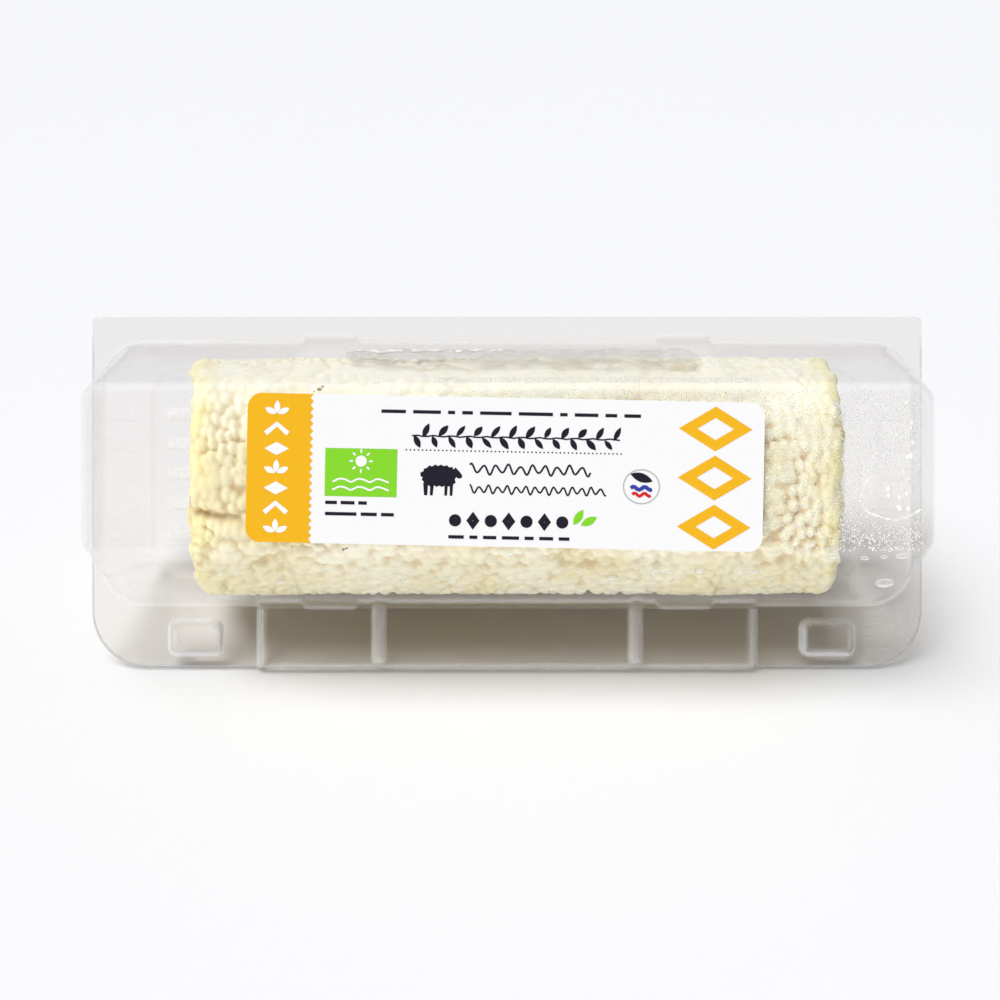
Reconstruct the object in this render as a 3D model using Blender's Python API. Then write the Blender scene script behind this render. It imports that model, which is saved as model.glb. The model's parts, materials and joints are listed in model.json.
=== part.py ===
# Sheep cheese log in a clear hinged pack: a pressed tray, a pressed lid that folds on the long
# upper edge, a printed label on the lid's flat face, and the log lying between them.
# The pack is laid out on its back: X runs along it, Y towards its hinge, Z towards the lid.
# An empty then stands it up, leaning back on its closing flange and its tray's lower corner.
import math
from collections import namedtuple

import bmesh
import bpy
from mathutils import Matrix, Vector, noise

# x_low, x_high, y_low and y_high bound a rounded rectangle, and radius rounds its corners
Section = namedtuple("Section", "x_low x_high y_low y_high radius")

# Sheet and seams, in metres
SHEET = 0.0004
SEAM = 0.0003
FILLET = 0.0016
FILLET_STEPS = 3
CORNER_STEPS = 6

# Flange outline
FLANGE = Section(-0.0855, 0.0855, -0.0345, 0.0378, 0.0006)
CLOSING_RADIUS = 0.0115
HINGE_CLEARANCE = 0.0002

# Mouth shared by the lid and the tray, and the flat ends of both pressings
MOUTH = Section(-0.0835, 0.0835, -0.0217, 0.0328, 0.009)
LID_FACE = Section(-0.0803, 0.0803, -0.0101, 0.0217, 0.0035)
LID_DEPTH = 0.0240
TRAY_FLOOR = Section(-0.0812, 0.0812, -0.0183, 0.0302, 0.007)
TRAY_DEPTH = 0.0280

# Raised middle panel of the closing flange, with two ribs over it
PANEL = Section(-0.0516, 0.0516, -0.0351, -0.0195, 0.0006)
PANEL_RISE = 0.0016
PANEL_DRAFT = 0.0008
RIB_PLACES = (-0.0263, 0.0263)
RIB_HALF_WIDTH = 0.0016
RIB_RISE = 0.0010
RIB_DRAFT = 0.0004
RIB_END = -0.0325

# Snap buttons near both ends of the closing flange
BUTTON_PLACES = (-0.0640, 0.0660)
BUTTON_HALF_LENGTH = 0.0058
BUTTON_LOW = -0.0322
BUTTON_HIGH = -0.0244
BUTTON_RADIUS = 0.0018
BUTTON_RISE = 0.0019
BUTTON_DRAFT = 0.0006

# Pillars pressed outwards from both long slopes of the lid
PILLAR_PLACES = (-0.0363, 0.0363)
PILLAR_HALF_WIDTH = 0.0060
PILLAR_PROUD = 0.0015
PILLAR_TOP = 0.0222
PILLAR_BITE = 0.0045

# Long ridges that stiffen the tray's floor
RIDGE_COUNT = 5
RIDGE_PITCH = 0.00685
RIDGE_MIDDLE = 0.0058
RIDGE_HALF_LENGTH = 0.0775
RIDGE_HALF_WIDTH = 0.0017
RIDGE_RISE = 0.0015
RIDGE_DRAFT = 0.0005

# Label
LABEL_HALF_LENGTH = 0.0485
LABEL_HALF_HEIGHT = 0.0140
LABEL_RADIUS = 0.0027
LABEL_MIDDLE = (-0.0005, 0.0052)
LABEL_TURN = math.radians(-1.15)
LABEL_THICKNESS = 0.00015

# Cheese log
LOG_LEFT = -0.0645
LOG_RIGHT = 0.0676
LOG_RADIUS = 0.0254
LOG_Y = 0.0045
LOG_Z = -0.0012
LOG_EDGE_RADIUS = 0.0032
LOG_AROUND = 76
LOG_ALONG = 44
LOG_GAP = 0.00035
LOG_SOFTNESS = 0.0028
LOG_SWELL = 0.0006
GRAIN_LENGTH = 0.0040
GRAIN_WIDTH = 0.0052
GRAIN_HEIGHT = 0.0011
GRAIN_TWIST = 9.0
END_SLANT = 0.0043
END_REACH = 0.0140
END_LOBE = 0.0014
END_BUMP = 0.0010
CREASE_DEPTH = 0.0026
CREASE_WIDTH = 0.0016
CREASE_LENGTH = 0.0150
CREASE_ANGLE = math.radians(108)


def clear_file():
    for old in list(bpy.data.objects):
        bpy.data.objects.remove(old, do_unlink=True)


def make_collection(name, parent):
    collection = bpy.data.collections.new(name)
    parent.children.link(collection)
    return collection


def make_material(name, colour, roughness, alpha=1.0):
    material = bpy.data.materials.new(name)
    material.use_nodes = True
    shader = material.node_tree.nodes["Principled BSDF"]
    shader.inputs["Base Color"].default_value = (*colour, 1.0)
    shader.inputs["Roughness"].default_value = roughness
    shader.inputs["Metallic"].default_value = 0.0
    shader.inputs["Alpha"].default_value = alpha
    return material


def shrunk(section, by):
    return Section(section.x_low + by, section.x_high - by, section.y_low + by,
                   section.y_high - by, max(section.radius - by, 0.0003))


def between(first, second, share):
    return Section(*(a + (b - a) * share for a, b in zip(first, second)))


def around(x, half_width, y_low, y_high, radius):
    return Section(x - half_width, x + half_width, y_low, y_high, radius)


def outline(section, z, low_radius=None):
    """Points of a rounded rectangle at height z, anticlockwise seen from above."""
    low_radius = low_radius or section.radius
    corners = (
        (section.x_high, section.y_low, -1, 1, low_radius),
        (section.x_high, section.y_high, -1, -1, section.radius),
        (section.x_low, section.y_high, 1, -1, section.radius),
        (section.x_low, section.y_low, 1, 1, low_radius),
    )
    points = []
    for quarter, (x, y, x_inward, y_inward, radius) in enumerate(corners):
        for step in range(CORNER_STEPS + 1):
            angle = math.radians(90) * (quarter - 1 + step / CORNER_STEPS)
            points.append((x + radius * (x_inward + math.cos(angle)),
                           y + radius * (y_inward + math.sin(angle)), z))
    return points


def link_solid(name, mesh_builder, collection):
    bmesh.ops.recalc_face_normals(mesh_builder, faces=mesh_builder.faces)
    mesh = bpy.data.meshes.new(name)
    mesh_builder.to_mesh(mesh)
    mesh_builder.free()
    solid = bpy.data.objects.new(name, mesh)
    collection.objects.link(solid)
    return solid


def loft(name, rings, collection):
    """Closed solid through outlines with equally many points, capped at both ends."""
    mesh_builder = bmesh.new()
    loops = []
    for points in rings:
        corners = [mesh_builder.verts.new(point) for point in points]
        pairs = zip(corners, corners[1:] + corners[:1])
        loops.append([mesh_builder.edges.new(pair) for pair in pairs])
        if len(loops) in (1, len(rings)):
            mesh_builder.faces.new(corners)
    for lower, upper in zip(loops, loops[1:]):
        bmesh.ops.bridge_loops(mesh_builder, edges=lower + upper)
    return link_solid(name, mesh_builder, collection)


def bump(name, section, foot, top, draft, collection):
    """Raised patch whose sides lean in by draft between its foot and its top."""
    rings = [outline(section, foot), outline(shrunk(section, draft), top)]
    return loft(name, rings, collection)


def cup(name, face, depth, start, inset, collection):
    """Pressed cup from the mouth to its flat face, with a rounded rim.

    depth is positive for the lid and negative for the tray, and start is the height at
    which the open end is cut off.
    """
    side = math.copysign(1.0, depth)
    rings = [outline(shrunk(MOUTH, inset), start)]
    if side * start < 0:
        rings.append(outline(shrunk(MOUTH, inset), 0.0))
    floor = abs(depth) - inset
    for step in range(FILLET_STEPS + 1):
        turn = math.radians(90) * step / FILLET_STEPS
        height = floor - FILLET * (1 - math.sin(turn))
        section = between(MOUTH, face, height / abs(depth))
        rings.append(outline(shrunk(section, inset + FILLET * (1 - math.cos(turn))),
                             side * height))
    return loft(name, rings, collection)


def flange(name, side, collection):
    heights = (side * SEAM / 2, side * (SEAM / 2 + SHEET))
    return loft(name, [outline(FLANGE, z, CLOSING_RADIUS) for z in heights], collection)


def combine(solid, operation, group):
    boolean = solid.modifiers.new(operation.lower(), "BOOLEAN")
    boolean.operation = operation
    boolean.solver = "EXACT"
    boolean.operand_type = "COLLECTION"
    boolean.collection = group


def add_lid_blocks(inset, foot, group):
    """Everything that stands out from the lid's sheet, shrunk by inset on every side."""
    cup("lid_dome", LID_FACE, LID_DEPTH, foot, inset, group)
    flat_top = SEAM / 2 + SHEET - inset
    edge_run = PANEL.y_low - inset * 10
    panel = shrunk(PANEL, inset)._replace(y_low=edge_run)
    bump("lid_panel", panel, foot, flat_top + PANEL_RISE, PANEL_DRAFT, group)
    for place in RIB_PLACES:
        rib = shrunk(around(place, RIB_HALF_WIDTH, RIB_END, PANEL.y_high, 0.0008), inset)
        bump("lid_rib", rib, foot, flat_top + PANEL_RISE + RIB_RISE, RIB_DRAFT, group)
    for place in BUTTON_PLACES:
        bump("lid_button", button_section(place, inset), foot, flat_top + BUTTON_RISE,
             BUTTON_DRAFT, group)
    for place in PILLAR_PLACES:
        add_pillars(place, inset, foot, group)


def button_section(place, inset):
    return shrunk(around(place, BUTTON_HALF_LENGTH, BUTTON_LOW, BUTTON_HIGH, BUTTON_RADIUS),
                  inset)


def add_pillars(place, inset, foot, group):
    """One pillar on the closing slope and one on the hinge slope, fading out upwards."""
    slope_top = between(MOUTH, LID_FACE, PILLAR_TOP / LID_DEPTH)
    slopes = (
        (MOUTH.y_low - PILLAR_PROUD, slope_top.y_low, PILLAR_BITE),
        (MOUTH.y_high + PILLAR_PROUD, slope_top.y_high, -PILLAR_BITE),
    )
    for foot_edge, top_edge, bite in slopes:
        rings = []
        for edge, height in ((foot_edge, foot), (top_edge, PILLAR_TOP - inset)):
            low, high = sorted((edge, edge + bite))
            section = around(place, PILLAR_HALF_WIDTH, low, high, 0.0008)
            rings.append(outline(shrunk(section, inset), height))
        loft("lid_pillar", rings, group)


def build_lid(parts, cutters, materials):
    lid = flange("lid", 1, parts)
    proud = make_collection("lid_proud", cutters)
    hollow = make_collection("lid_hollow", cutters)
    add_lid_blocks(0.0, (SEAM + SHEET) / 2, proud)
    add_lid_blocks(SHEET, -0.001, hollow)
    combine(lid, "UNION", proud)
    combine(lid, "DIFFERENCE", hollow)
    lid.data.materials.append(materials["clear_lid"])
    return lid


def add_tray_nesting(inset, foot, group):
    """Panel and buttons that nest behind the lid's, shrunk by inset on every side."""
    nest = SHEET + SEAM + inset
    top = SEAM / 2 - SEAM - inset
    panel = shrunk(PANEL, nest)._replace(y_low=FLANGE.y_low - inset * 10,
                                         y_high=MOUTH.y_low + SHEET * 2 - inset * 2)
    bump("tray_panel", panel, foot, top + PANEL_RISE, PANEL_DRAFT, group)
    for place in BUTTON_PLACES:
        bump("tray_button", button_section(place, nest), foot, top + BUTTON_RISE,
             BUTTON_DRAFT, group)


def add_ridges(inset, foot, group):
    top = -TRAY_DEPTH + SHEET + RIDGE_RISE - inset
    for index in range(RIDGE_COUNT):
        y = RIDGE_MIDDLE + (index - (RIDGE_COUNT - 1) / 2) * RIDGE_PITCH
        ridge = Section(-RIDGE_HALF_LENGTH, RIDGE_HALF_LENGTH, y - RIDGE_HALF_WIDTH,
                        y + RIDGE_HALF_WIDTH, 0.0012)
        bump("tray_ridge", shrunk(ridge, inset), foot, top, RIDGE_DRAFT, group)


def build_tray(parts, cutters, materials):
    tray = flange("tray", -1, parts)
    proud = make_collection("tray_proud", cutters)
    hollow = make_collection("tray_hollow", cutters)
    ridges = make_collection("tray_ridges", cutters)
    grooves = make_collection("tray_grooves", cutters)
    middle = -(SEAM + SHEET) / 2
    past_sheet = 0.003
    cup("tray_tub", TRAY_FLOOR, -TRAY_DEPTH, middle, 0.0, proud)
    cup("tray_inside", TRAY_FLOOR, -TRAY_DEPTH, past_sheet, SHEET, hollow)
    add_tray_nesting(0.0, middle, proud)
    add_tray_nesting(SHEET, -past_sheet, hollow)
    add_ridges(0.0, -TRAY_DEPTH + SHEET / 2, ridges)
    add_ridges(SHEET, -TRAY_DEPTH - past_sheet, grooves)
    combine(tray, "UNION", proud)
    combine(tray, "DIFFERENCE", hollow)
    combine(tray, "UNION", ridges)
    combine(tray, "DIFFERENCE", grooves)
    tray.data.materials.append(materials["clear_tray"])
    return tray


def build_label(parts, materials):
    low = LID_DEPTH + SEAM
    section = Section(-LABEL_HALF_LENGTH, LABEL_HALF_LENGTH, -LABEL_HALF_HEIGHT,
                      LABEL_HALF_HEIGHT, LABEL_RADIUS)
    label = loft("label", [outline(section, low), outline(section, low + LABEL_THICKNESS)], parts)
    turn = Matrix.Rotation(LABEL_TURN, 4, "Z")
    label.data.transform(Matrix.Translation((*LABEL_MIDDLE, 0.0)) @ turn)
    label.data.materials.append(materials["label_paper"])
    return label


def wall_lines():
    """The pack's walls across the log, each as a point and an outward normal in Y and Z."""
    ridge_tops = -TRAY_DEPTH + RIDGE_RISE
    corners = [
        Vector((MOUTH.y_low, 0.0)),
        Vector((LID_FACE.y_low, LID_DEPTH)),
        Vector((LID_FACE.y_high, LID_DEPTH)),
        Vector((MOUTH.y_high, 0.0)),
        Vector((TRAY_FLOOR.y_high, ridge_tops)),
        Vector((TRAY_FLOOR.y_low, ridge_tops)),
    ]
    lines = []
    for first, second in zip(corners, corners[1:] + corners[:1]):
        along = (second - first).normalized()
        lines.append((first, Vector((-along.y, along.x))))
    return lines


def soft_minimum(first, second):
    """The lower of two reaches, lowered a little more where they nearly agree."""
    share = max(0.0, 1.0 - abs(first - second) / LOG_SOFTNESS)
    return min(first, second) - share * share * LOG_SOFTNESS / 4


def wall_limit(angle, lines):
    """How far the log may reach from its axis in this direction."""
    ray = Vector((math.cos(angle), math.sin(angle)))
    axis = Vector((LOG_Y, LOG_Z))
    limit = 1.0
    for point, normal in lines:
        facing = ray.dot(normal)
        if facing > 0.05:
            room = (point - axis).dot(normal) - SHEET - LOG_GAP
            limit = soft_minimum(limit, room / facing)
    return limit


def grain_relief(x, angle):
    """Rounded grains in slanting rows, from 0 in a crevice to 1 on top of a grain."""
    twisted = angle + x * GRAIN_TWIST
    place = Vector((x / GRAIN_LENGTH, LOG_RADIUS * math.cos(twisted) / GRAIN_WIDTH,
                    LOG_RADIUS * math.sin(twisted) / GRAIN_WIDTH))
    near = noise.voronoi(place)[0]
    return min((near[1] - near[0]) / 0.45, 1.0)


def crease_relief(x, angle):
    """The deep fold that runs in from the left end, 1 at its deepest."""
    along = min(1.0, max(0.0, 1.0 - (x - LOG_LEFT) / CREASE_LENGTH))
    across = (angle - CREASE_ANGLE) * LOG_RADIUS / CREASE_WIDTH
    return math.sqrt(along) * math.exp(-across * across)


def log_reach(x, angle, lines):
    swell = LOG_SWELL * noise.noise(Vector((x * 45, 2.5 * math.cos(angle), 2.5 * math.sin(angle))))
    relief = GRAIN_HEIGHT * (grain_relief(x, angle) - 1.0)
    crease = CREASE_DEPTH * crease_relief(x, angle)
    return soft_minimum(LOG_RADIUS + swell, wall_limit(angle, lines)) + relief - crease


def end_shift(x, radius, angle):
    """How far the log's ends, slanted towards the lid and uneven, differ from flat ones."""
    end = LOG_RIGHT if x > 0 else LOG_LEFT
    nearness = max(0.0, 1.0 - abs(end - x) / END_REACH)
    y = radius * math.cos(angle)
    z = radius * math.sin(angle)
    slant = -math.copysign(END_SLANT, end) * max(0.0, z) / LOG_RADIUS
    lobes = END_LOBE * noise.noise(Vector((end * 90, y * 70, z * 70)))
    bumps = END_BUMP * noise.noise(Vector((end * 70, y * 260, z * 260)))
    return nearness * (slant + lobes + bumps)


def log_point(point, lines):
    angle = math.atan2(point.z, point.y)
    radius = math.hypot(point.y, point.z)
    reach = radius / LOG_RADIUS * log_reach(point.x, angle, lines)
    x = point.x + end_shift(point.x, radius, angle)
    return Vector((x, LOG_Y + reach * math.cos(angle), LOG_Z + reach * math.sin(angle)))


def log_profile():
    """Half outline of the log, from the middle of its left end to that of its right end."""
    corner = LOG_RADIUS - LOG_EDGE_RADIUS
    end = [(0.0, corner * share) for share in (0.0, 0.3, 0.6, 0.84)]
    for step in range(4):
        turn = math.radians(30 * step)
        end.append((LOG_EDGE_RADIUS * (1 - math.cos(turn)),
                    corner + LOG_EDGE_RADIUS * math.sin(turn)))
    first = [(LOG_LEFT + depth, y) for depth, y in end]
    last = [(LOG_RIGHT - depth, y) for depth, y in reversed(end)]
    start = first[-1][0]
    length = last[0][0] - start
    side = [(start + length * step / LOG_ALONG, LOG_RADIUS) for step in range(1, LOG_ALONG)]
    return first + side + last


def build_log(parts, materials):
    lines = wall_lines()
    mesh_builder = bmesh.new()
    corners = [mesh_builder.verts.new((x, y, 0.0)) for x, y in log_profile()]
    edges = [mesh_builder.edges.new(pair) for pair in zip(corners, corners[1:])]
    bmesh.ops.spin(mesh_builder, geom=corners + edges, cent=(0, 0, 0), axis=(1, 0, 0),
                   angle=math.tau, steps=LOG_AROUND, use_merge=True)
    bmesh.ops.remove_doubles(mesh_builder, verts=mesh_builder.verts, dist=0.00001)
    for vert in mesh_builder.verts:
        vert.co = log_point(vert.co, lines)
    cheese = link_solid("cheese", mesh_builder, parts)
    cheese.data.shade_smooth()
    cheese.data.materials.append(materials["cheese"])
    return cheese


def standing_tilt():
    """Turn that brings the closing edge and the tray's lower corner to one level."""
    edge = Vector((FLANGE.y_low, -(SEAM / 2 + SHEET)))
    corner = Vector((TRAY_FLOOR.y_low + FILLET, FILLET - TRAY_DEPTH))
    span = corner - edge
    return math.asin(FILLET / span.length) - math.atan2(span.y, span.x)


def make_empty(name, collection, parent=None):
    empty = bpy.data.objects.new(name, None)
    collection.objects.link(empty)
    empty.parent = parent
    return empty


def world_bounds(solids):
    bpy.context.view_layer.update()
    depsgraph = bpy.context.evaluated_depsgraph_get()
    points = []
    for solid in solids:
        evaluated = solid.evaluated_get(depsgraph)
        points += [solid.matrix_world @ vert.co for vert in evaluated.to_mesh().vertices]
        evaluated.to_mesh_clear()
    low = Vector([min(point[axis] for point in points) for axis in range(3)])
    high = Vector([max(point[axis] for point in points) for axis in range(3)])
    return low, high


def stand_up(parts, cutters, fixed, swinging):
    """Lean the pack back, hang the lid on its hinge, and centre the pack on its footprint."""
    stand = make_empty("pack_stand", parts)
    hinge = make_empty("lid_hinge_line", parts, stand)
    hinge.location = (0.0, FLANGE.y_high + HINGE_CLEARANCE, 0.0)
    for solid in fixed + list(cutters.all_objects):
        solid.parent = stand
    for solid in swinging:
        solid.parent = hinge
        solid.location = -hinge.location
    stand.rotation_euler = (standing_tilt(), 0.0, 0.0)
    low, high = world_bounds(fixed + swinging)
    stand.location = (-(low.x + high.x) / 2, -(low.y + high.y) / 2, -low.z)


def main():
    clear_file()
    scene_collection = bpy.context.scene.collection
    parts = make_collection("sheep_cheese_log", scene_collection)
    cutters = make_collection("cutters", scene_collection)
    materials = {
        "clear_lid": make_material("clear_lid", (0.93, 0.94, 0.93), 0.08, 0.3),
        "clear_tray": make_material("clear_tray", (0.90, 0.91, 0.90), 0.08, 0.3),
        "label_paper": make_material("label_paper", (0.95, 0.95, 0.94), 0.45),
        "cheese": make_material("cheese", (0.93, 0.88, 0.70), 0.55),
    }
    tray = build_tray(parts, cutters, materials)
    cheese = build_log(parts, materials)
    lid = build_lid(parts, cutters, materials)
    label = build_label(parts, materials)
    for cutter in cutters.all_objects:
        cutter.hide_render = True
        cutter.display_type = "WIRE"
    stand_up(parts, cutters, [tray, cheese], [lid, label])


main()
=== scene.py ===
# Looks of the sheep cheese log in its clear hinged pack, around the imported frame.
# Every piece is modelled with the pack on its back: X along it, Y towards its hinge and
# Z towards the lid. packToWorld then stands it up as the frame stands.
import json
import math
import random
from collections import namedtuple

import bmesh
import bpy
from mathutils import Matrix, Vector, noise


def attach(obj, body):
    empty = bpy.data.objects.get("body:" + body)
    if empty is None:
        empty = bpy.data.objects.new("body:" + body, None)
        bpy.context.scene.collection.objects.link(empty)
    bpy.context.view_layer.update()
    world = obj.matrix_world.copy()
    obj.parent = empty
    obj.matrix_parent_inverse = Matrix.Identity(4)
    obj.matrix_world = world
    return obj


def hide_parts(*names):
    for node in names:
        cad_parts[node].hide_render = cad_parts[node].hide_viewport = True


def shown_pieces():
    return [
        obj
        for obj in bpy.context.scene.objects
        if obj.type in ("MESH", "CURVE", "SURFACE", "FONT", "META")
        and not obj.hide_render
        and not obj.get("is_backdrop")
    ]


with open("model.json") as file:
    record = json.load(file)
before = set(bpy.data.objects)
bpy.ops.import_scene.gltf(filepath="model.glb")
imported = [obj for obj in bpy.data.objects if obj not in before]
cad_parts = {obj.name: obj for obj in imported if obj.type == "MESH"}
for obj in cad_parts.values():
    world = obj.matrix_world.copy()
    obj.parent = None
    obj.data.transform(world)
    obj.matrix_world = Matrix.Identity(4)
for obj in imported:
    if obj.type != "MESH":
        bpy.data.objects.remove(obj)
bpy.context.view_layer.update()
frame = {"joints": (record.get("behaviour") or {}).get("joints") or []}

# A rounded rectangle; lowRadius rounds the two corners on the closing side
Section = namedtuple("Section", "xLow xHigh yLow yHigh radius lowRadius")

pack = {
    "sheet": 0.0004,
    "seam": 0.0003,
    "fillet": 0.0016,
    "flange": Section(-0.0855, 0.0855, -0.0345, 0.0378, 0.0006, 0.0115),
    "mouth": Section(-0.0835, 0.0835, -0.0217, 0.0328, 0.009, 0.009),
    "lidFace": Section(-0.0803, 0.0803, -0.0101, 0.0217, 0.0035, 0.0035),
    "lidDepth": 0.0240,
    "trayFloor": Section(-0.0812, 0.0812, -0.0183, 0.0302, 0.007, 0.007),
    "trayDepth": 0.0280,
    "hingeLine": 0.0380,
}


def standingTilt():
    edge = Vector((pack["flange"].yLow, -(pack["seam"] / 2 + pack["sheet"])))
    corner = Vector((pack["trayFloor"].yLow + pack["fillet"], pack["fillet"] - pack["trayDepth"]))
    span = corner - edge
    return math.asin(pack["fillet"] / span.length) - math.atan2(span.y, span.x)


tilt = standingTilt()
packToWorld = (Matrix.Translation(Vector(frame["joints"][0]["pos_m"]))
               @ Matrix.Rotation(tilt, 4, "X")
               @ Matrix.Translation((0.0, -pack["hingeLine"], 0.0)))


def smooth(low, high, value):
    share = min(1.0, max(0.0, (value - low) / (high - low)))
    return share * share * (3 - 2 * share)


def mix(first, second, share):
    return first + (second - first) * share


# Shared mesh helpers

def makeGrid(columns, rows, place):
    mesh = bmesh.new()
    bmesh.ops.create_grid(mesh, x_segments=columns, y_segments=rows, size=0.5)
    for vert in mesh.verts:
        column = round((vert.co.x + 0.5) * columns)
        row = round((vert.co.y + 0.5) * rows)
        vert.co = place(column, row)
    return mesh


def finishPiece(name, mesh, body, material, smoothShade=True):
    bmesh.ops.transform(mesh, matrix=packToWorld, verts=mesh.verts)
    data = bpy.data.meshes.new(name)
    mesh.to_mesh(data)
    mesh.free()
    if smoothShade:
        data.shade_smooth()
    data.materials.append(material)
    piece = bpy.data.objects.new(name, data)
    bpy.context.scene.collection.objects.link(piece)
    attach(piece, body)
    return piece


# Shared node helpers

def newMaterial(name):
    material = bpy.data.materials.new(name)
    material.use_nodes = True
    tree = material.node_tree
    tree.nodes.clear()
    output = tree.nodes.new("ShaderNodeOutputMaterial")
    return material, tree, output


def addNode(tree, kind, inputs=None, **options):
    node = tree.nodes.new(kind)
    for key, value in options.items():
        setattr(node, key, value)
    for key, value in (inputs or {}).items():
        if isinstance(value, bpy.types.NodeSocket):
            tree.links.new(value, node.inputs[key])
        else:
            node.inputs[key].default_value = value
    return node


def math2(tree, operation, first, second=0.5, clamp=False):
    node = addNode(tree, "ShaderNodeMath", {0: first, 1: second}, operation=operation,
                   use_clamp=clamp)
    return node.outputs[0]


def rangeOf(tree, value, fromLow, fromHigh, toLow, toHigh):
    node = addNode(tree, "ShaderNodeMapRange", {0: value, 1: fromLow, 2: fromHigh, 3: toLow,
                                                4: toHigh}, interpolation_type="SMOOTHSTEP")
    return node.outputs[0]


def mixColour(tree, share, first, second):
    node = addNode(tree, "ShaderNodeMix", {0: share, 6: first, 7: second}, data_type="RGBA")
    return node.outputs[2]


def objectPoint(tree):
    return addNode(tree, "ShaderNodeTexCoord").outputs["Object"]


def scaledPoint(tree, scale):
    return addNode(tree, "ShaderNodeMapping", {"Vector": objectPoint(tree), "Scale": scale}
                   ).outputs[0]


# Clear sheet: what lies behind it, with a reflection that grows towards grazing views

def clearSheet(name, settings):
    material, tree, output = newMaterial(name)
    smudges = addNode(tree, "ShaderNodeTexNoise", {"Vector": objectPoint(tree),
                                                   "Scale": settings["smudgeScale"],
                                                   "Detail": 0.0}).outputs[0]
    facing = addNode(tree, "ShaderNodeLayerWeight", {"Blend": 0.5})
    grazing = math2(tree, "POWER", facing.outputs["Facing"], settings["grazingPower"])
    shine = math2(tree, "MULTIPLY_ADD", grazing, settings["grazingShine"])
    shine.node.inputs[2].default_value = settings["plainShine"]
    through = addNode(tree, "ShaderNodeBsdfTransparent", {"Color": (*settings["tint"], 1.0)})
    gloss = addNode(tree, "ShaderNodeBsdfGlossy", {"Color": (*settings["shineTint"], 1.0),
                                                   "Roughness": rangeOf(tree, smudges, 0.3, 0.7,
                                                                        0.02, 0.06)})
    clear = addNode(tree, "ShaderNodeMixShader", {0: shine, 1: through.outputs[0],
                                                  2: gloss.outputs[0]})
    # The bend attribute mixes in a white diffuse along fillets, steps, ribs, strips and the flange edge: painted
    # highlight for the light the bent clear sheet catches.
    bend = addNode(tree, "ShaderNodeAttribute", attribute_name="bend").outputs["Fac"]
    sheenShare = math2(tree, "MULTIPLY", bend, settings["sheenStrength"], clamp=True)
    sheenColour = addNode(tree, "ShaderNodeBsdfDiffuse", {"Color": (*settings["sheenColour"], 1.0)})
    mixed = addNode(tree, "ShaderNodeMixShader", {0: sheenShare, 1: clear.outputs[0],
                                                  2: sheenColour.outputs[0]})
    # The edge attribute mixes in a dark diffuse along the outer edge: painted shade for the dark outline of the
    # sheet's cut edge.
    edge = addNode(tree, "ShaderNodeAttribute", attribute_name="edge").outputs["Fac"]
    shaded = math2(tree, "MULTIPLY", edge, settings["edgeShade"], clamp=True)
    dark = addNode(tree, "ShaderNodeBsdfDiffuse", {"Color": (*settings["edgeShadeColour"], 1.0)})
    whole = addNode(tree, "ShaderNodeMixShader", {0: shaded, 1: mixed.outputs[0],
                                                  2: dark.outputs[0]})
    tree.links.new(whole.outputs[0], output.inputs["Surface"])
    return material


# Pressed shells of the lid and the tray

ring = {"longStop": 0.073, "sideLow": -0.0060, "sideHigh": 0.0180, "cornerSteps": 18,
        "sideStep": 0.0016}


def grown(section, by):
    return Section(section.xLow - by, section.xHigh + by, section.yLow - by,
                   section.yHigh + by, max(section.radius + by, 0.0003),
                   max(section.lowRadius + by, 0.0003))


def between(first, second, share):
    return Section(*(mix(a, b, share) for a, b in zip(first, second)))


def denser(low, high, step, edges):
    count = math.ceil((high - low) / step)
    places = {round(low + (high - low) * index / count, 6) for index in range(count + 1)}
    for edge in edges:
        for offset in (-0.0011, -0.0008, -0.0005, -0.00025, 0.0, 0.00025, 0.0005, 0.0008, 0.0011):
            if low < edge + offset < high:
                places.add(round(edge + offset, 6))
    kept = [low]
    for place in sorted(places):
        if place - kept[-1] > 0.00018:
            kept.append(place)
    kept[-1] = high
    return kept


def ringStations(lowEdges, highEdges):
    stop = ring["longStop"]
    low = [("low", x) for x in denser(-stop, stop, 0.0011, lowEdges)]
    high = [("high", x) for x in reversed(denser(-stop, stop, 0.0016, highEdges))]
    count = math.ceil((ring["sideHigh"] - ring["sideLow"]) / ring["sideStep"])
    sides = [mix(ring["sideLow"], ring["sideHigh"], index / count) for index in range(count + 1)]
    shares = [index / ring["cornerSteps"] for index in range(1, ring["cornerSteps"])]
    stations = low + [("lowRight", share) for share in shares]
    stations += [("right", y) for y in sides]
    stations += [("highRight", share) for share in reversed(shares)]
    stations += high + [("highLeft", share) for share in shares]
    stations += [("left", y) for y in reversed(sides)]
    stations += [("lowLeft", share) for share in reversed(shares)]
    return stations


def cornerPoint(section, side, share):
    right = side.endswith("Right")
    low = side.startswith("low")
    radius = section.lowRadius if low else section.radius
    edgeX = section.xHigh if right else section.xLow
    edgeY = section.yLow if low else section.yHigh
    xSign = 1 if right else -1
    ySign = 1 if low else -1
    stopY = ring["sideLow"] if low else ring["sideHigh"]
    run = abs(edgeX) - radius - ring["longStop"]
    arc = radius * math.pi / 2
    rise = abs(stopY - edgeY) - radius
    way = share * (run + arc + rise)
    if way <= run:
        return xSign * (ring["longStop"] + way), edgeY
    if way <= run + arc:
        turn = (way - run) / radius
        return (edgeX - xSign * radius * (1 - math.sin(turn)),
                edgeY + ySign * radius * (1 - math.cos(turn)))
    return edgeX, edgeY + ySign * (radius + way - run - arc)


def ringPoint(section, station):
    side, value = station
    if side == "low":
        return value, section.yLow
    if side == "high":
        return value, section.yHigh
    if side == "right":
        return section.xHigh, value
    if side == "left":
        return section.xLow, value
    return cornerPoint(section, side, value)


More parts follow.
